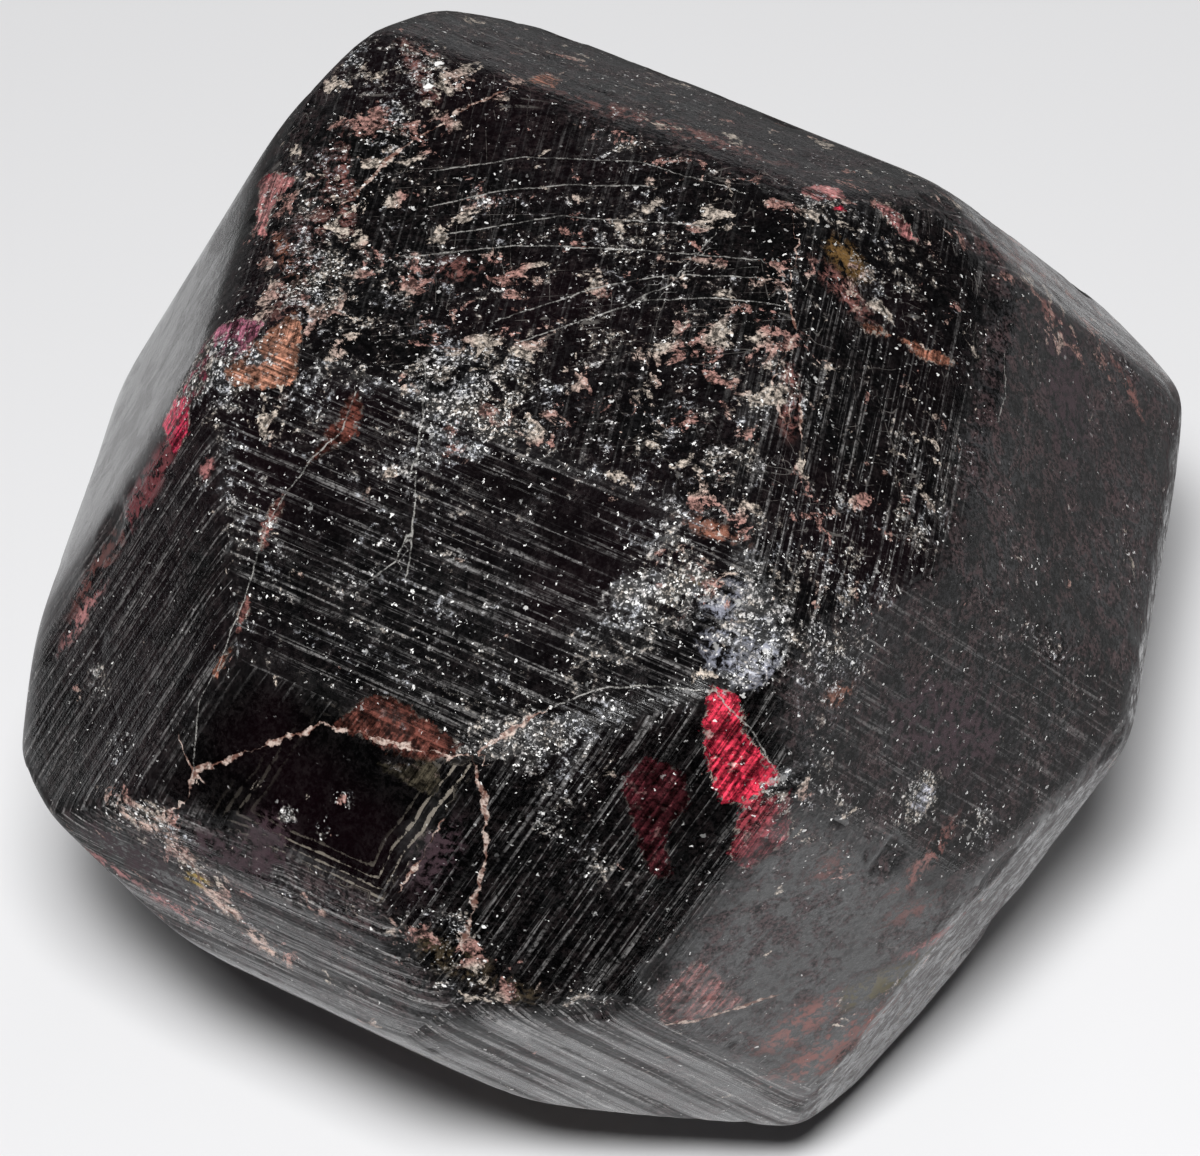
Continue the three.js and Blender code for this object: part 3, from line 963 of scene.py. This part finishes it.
scratch_off = calc("ABSOLUTE", total(painted("scratch_side"), product(vein_wander, 0.45)))
scratch_cover = product(between(scratch_off, 0.04, 0.01),
                        between(painted("scratch_gap"), 0.4, 0.2),
                        between(total(patches, grit), 0.85, 1.15, 0.08, 0.9))

# Growth terraces, nested lozenges whose steps catch the light: the step lines are painted
# highlights.
terrace_out = painted("terrace")
terrace_at = total(product(terrace_out, 2.8), product(clouds, 1.6), product(patches, 0.45))
terrace_rise = calc("ABSOLUTE", less(calc("FRACT", terrace_at), 0.5))
terrace_width = between(patches, 0.35, 0.62, 0.48, 0.30)
terrace_lines = product(between(less(terrace_rise, terrace_width), -0.01, 0.05),
                        between(total(product(patches, 1.5), grit), 1.02, 1.32),
                        painted("terraced"),
                        between(terrace_out, 1.9, 2.6),
                        between(terrace_out, 4.6, 3.4, 0.25, 1.0))

# Skin: a grey and brown grain over the faces that have one, partly painted reflection:
# it stands in for the mottled grey these faces mirror from the paper.
skin_and_reflection_grain = between(total(product(grit, 0.55), product(grains, 0.45)), 0.40, 0.60)
skin_and_reflection_tint = blend(between(patches, 0.42, 0.58), SKIN_AND_REFLECTION_GREY, SKIN_AND_REFLECTION_BROWN)
skin_and_reflection_here = product(painted("skin_and_reflection"), between(skin_and_reflection_grain, 0.0, 1.0, 0.05, 1.0),
                    between(total(patches, clouds), 0.75, 1.15, 0.35, 1.2))

# Dust and wear: a faint grain over everything.
dust = between(total(grit, total(grains, patches)), 1.35, 1.85)
dust_colour = blend(dust, (0, 0, 0, 1), DUST_GREY)

# Everything laid over the glass in turn.
# The skin grain, partly painted reflection, is added to the glass.
colour = added(added(depth_colour, dust_colour), shaded(skin_and_reflection_tint, skin_and_reflection_here))
# Painted highlights on the terrace steps.
colour = blend(product(terrace_lines, 0.8), colour, STEP_HIGHLIGHT_TAN)
# Growth lines, partly painted highlight.
colour = blend(product(streaks, 0.8), colour, LINE_GREY)
colour = blend(product(hairlines, 0.6), colour, HAIR_GREY)
# Stains, with a painted highlight among them.
colour = blend(stain_and_highlight_cover, colour, shaded(painted("stain_and_highlight_colour", 0), stain_and_highlight_shade))
colour = blend(fleck_cover, colour, fleck_colour)
colour = blend(window_cover, colour, shaded(window_tint, window_shade))
colour = blend(frosting, colour, frost_colour)
colour = blend(product(window_rim, 0.6), colour, RIM_PALE)
colour = blend(vein_cover, colour, vein_colour)
colour = blend(scratch_cover, colour, SCRATCH_GREY)
# The painted glints over all the rest.
colour = blend(painted_glints, colour, PAINTED_GLINT_WHITE)
feed(surface.inputs["Base Color"], colour)

# The bare glass is glossy; frost, veins, chips, worn edges, dull places and the bands
# between strong growth lines are less so.
dull_here = product(painted("dull"), between(total(patches, grains), 0.82, 1.18, 0.15, 0.75))
line_dull = product(between(broad_lines, 0.44, 0.58), between(lines_here, 0.9, 1.8, 0.0, 0.45))
roughness = total(between(total(clouds, patches), 0.8, 1.2, 0.10, 0.24),
                  product(frosting, 0.35), product(vein_cover, 0.3), product(chipped_here, 0.4),
                  between(edge_here, 0.9, 0.2, 0.0, 0.15), dull_here, line_dull)
feed(surface.inputs["Roughness"], calc("MINIMUM", roughness, ROUGHEST))
surface.inputs["IOR"].default_value = GARNET_IOR

# Relief too fine for the mesh, in millimetres.
relief = total(product(fine_lines, 0.03, lines_here), product(broad_lines, 0.08, lines_here),
               product(grains, 0.014), product(grit, 0.008))
bumped = part("ShaderNodeBump", {"Height": relief, "Distance": MM, "Strength": 1.0})
feed(surface.inputs["Normal"], bumped)
crystal_mesh.materials.append(garnet)

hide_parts("garnet_crystal")
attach(crystal, "root")

# --------------------------------------------------------
# The camera, above and in front, a hand's length away, tilted a little.

CAMERA_HEIGHT_ANGLE = radians(50)
CAMERA_ROLL = radians(3)
CAMERA_DISTANCE = 200 * MM

camera_data = bpy.data.cameras.new("camera")
camera_data.sensor_width = 36
camera_data.lens = 173.4
camera_data.clip_start = 0.01
camera_data.shift_x = -0.0162
camera_data.shift_y = 0.0092
camera = bpy.data.objects.new("camera", camera_data)
middle = (cad_box[0] + cad_box[1]) / 2
back = Vector((0, -cos(CAMERA_HEIGHT_ANGLE), sin(CAMERA_HEIGHT_ANGLE)))
level = Vector((1, 0, 0))
upright = back.cross(level)
right = level * cos(CAMERA_ROLL) - upright * sin(CAMERA_ROLL)
up = level * sin(CAMERA_ROLL) + upright * cos(CAMERA_ROLL)
camera.matrix_world = Matrix.Translation(middle + back * CAMERA_DISTANCE) @ Matrix(
    (right, up, back)).transposed().to_4x4()
bpy.context.collection.objects.link(camera)
bpy.context.scene.camera = camera

# --------------------------------------------------------
# The floor: a sheet of plain pale paper, a metre square.

FLOOR_HALF = 0.5
LIT_FROM = 60 * MM
FULLY_LIT = 400 * MM

sheet = bmesh.new()
bmesh.ops.create_grid(sheet, x_segments=8, y_segments=8, size=FLOOR_HALF)
floor_mesh = bpy.data.meshes.new("floor")
sheet.to_mesh(floor_mesh)
sheet.free()
floor_piece = bpy.data.objects.new("floor", floor_mesh)
bpy.context.collection.objects.link(floor_piece)
paper = bpy.data.materials.new("paper")
paper.use_nodes = True
paper_surface = paper.node_tree.nodes["Principled BSDF"]
paper_surface.inputs["Base Color"].default_value = (0.8, 0.8, 0.81, 1)
paper_surface.inputs["Roughness"].default_value = 0.9

# The lamps stand close, so the far paper is lit up to the room's own paleness. The crystal
# doesn't mirror that light.
paper_nodes, paper_links = paper.node_tree.nodes, paper.node_tree.links
place_on_paper = paper_nodes.new("ShaderNodeTexCoord")
from_crystal = paper_nodes.new("ShaderNodeVectorMath")
from_crystal.operation = "LENGTH"
far_light = paper_nodes.new("ShaderNodeMapRange")
far_light.interpolation_type = "SMOOTHSTEP"
far_light.inputs["From Min"].default_value = LIT_FROM
far_light.inputs["From Max"].default_value = FULLY_LIT
far_light.inputs["To Max"].default_value = 0.72
seen_straight = paper_nodes.new("ShaderNodeLightPath")
only_straight = paper_nodes.new("ShaderNodeMath")
only_straight.operation = "MULTIPLY"
paper_links.new(place_on_paper.outputs["Object"], from_crystal.inputs[0])
paper_links.new(from_crystal.outputs["Value"], far_light.inputs["Value"])
paper_links.new(far_light.outputs["Result"], only_straight.inputs[0])
paper_links.new(seen_straight.outputs["Is Camera Ray"], only_straight.inputs[1])
paper_links.new(only_straight.outputs[0], paper_surface.inputs["Emission Strength"])
paper_surface.inputs["Emission Color"].default_value = (1.0, 1.0, 1.0, 1)
floor_mesh.materials.append(paper)

# --------------------------------------------------------
# The light: two soft boxes high in front, near the camera, a weak one behind, and a dim
# room round about. Of the three lamps only the key is mirrored in the crystal's faces.


def soft_box(name, azimuth, elevation, distance, size, power):
    lamp = bpy.data.lights.new(name, "AREA")
    lamp.shape = "DISK"
    lamp.size = size
    lamp.energy = power
    box = bpy.data.objects.new(name, lamp)
    a, e = radians(azimuth), radians(elevation)
    away = Vector((sin(a) * cos(e), -cos(a) * cos(e), sin(e)))
    box.matrix_world = Matrix.Translation(middle + away * distance) @ away.to_track_quat(
        "Z", "Y").to_matrix().to_4x4()
    bpy.context.collection.objects.link(box)
    return box


soft_box("key", azimuth=-12, elevation=62, distance=0.30, size=0.05, power=0.36)
overhead = soft_box("overhead", azimuth=0, elevation=63, distance=0.28, size=0.06, power=0.70)
overhead.visible_glossy = False
fill = soft_box("fill", azimuth=150, elevation=40, distance=0.35, size=0.15, power=0.11)
fill.visible_glossy = False

# Cards stand and lie round the stone and show only in its faces: black and dark ones in front
# and on the left, grey ones on the floor to the right and behind. They are painted shade seen only
# in reflection: the standing ones darken what the faces mirror in front and on the left, and the
# lying ones darken the mirrored paper as if it lay in shade. The lying cards are CARD_LIFT above
# the floor.
BLACK = 0.004
DARK_GREY = 0.03
DULL_GREY = 0.15
MID_GREY = 0.20
CARD_LIFT = 0.5 * MM


def card(name, shade, size, place, stands=False, turn=0.0):
    sheet = bmesh.new()
    bmesh.ops.create_grid(sheet, x_segments=1, y_segments=1, size=0.5)
    bmesh.ops.scale(sheet, verts=sheet.verts, vec=(*size, 1))
    if stands:
        bmesh.ops.rotate(sheet, verts=sheet.verts, matrix=Matrix.Rotation(pi / 2, 3, "X"))
        bmesh.ops.rotate(sheet, verts=sheet.verts, matrix=Matrix.Rotation(turn, 3, "Z"))
    bmesh.ops.translate(sheet, verts=sheet.verts, vec=place)
    card_mesh = bpy.data.meshes.new(name)
    sheet.to_mesh(card_mesh)
    sheet.free()
    piece = bpy.data.objects.new(name, card_mesh)
    bpy.context.collection.objects.link(piece)
    mirrored_shade = bpy.data.materials.new(name)
    mirrored_shade.use_nodes = True
    mirrored_shade_surface = mirrored_shade.node_tree.nodes["Principled BSDF"]
    mirrored_shade_surface.inputs["Base Color"].default_value = (shade, shade, shade, 1)
    mirrored_shade_surface.inputs["Roughness"].default_value = 1.0
    mirrored_shade_surface.inputs["Specular IOR Level"].default_value = 0.0
    card_mesh.materials.append(mirrored_shade)
    piece.visible_camera = False
    piece.visible_shadow = False
    piece.visible_diffuse = False


card("front card", BLACK, (0.20, 0.10), (-0.02, -0.048, 0.051), stands=True)
card("front floor card", BLACK, (0.115, 0.036), (-0.0525, -0.042, CARD_LIFT))
card("left floor card", BLACK, (0.070, 0.036), (-0.070, -0.012, CARD_LIFT))
card("left card", DARK_GREY, (0.20, 0.08), (-0.11, 0.03, 0.041), stands=True, turn=pi / 2)
card("right card", MID_GREY, (0.13, 0.24), (0.095, 0.02, CARD_LIFT))
card("back card", DULL_GREY, (0.16, 0.09), (-0.04, 0.09, CARD_LIFT))

world = bpy.data.worlds.new("room")
world.use_nodes = True
bpy.context.scene.world = world
room_nodes, room_links = world.node_tree.nodes, world.node_tree.links
dim_room = room_nodes["Background"]
dim_room.inputs["Color"].default_value = (0.018, 0.018, 0.019, 1)
backdrop = room_nodes.new("ShaderNodeBackground")
backdrop.inputs["Color"].default_value = (0.82, 0.82, 0.83, 1)
straight = room_nodes.new("ShaderNodeLightPath")
shown = room_nodes.new("ShaderNodeMixShader")
room_links.new(straight.outputs["Is Camera Ray"], shown.inputs[0])
room_links.new(dim_room.outputs[0], shown.inputs[1])
room_links.new(backdrop.outputs[0], shown.inputs[2])
room_links.new(shown.outputs[0], room_nodes["World Output"].inputs["Surface"])
bpy.context.scene.view_settings.view_transform = "Standard"
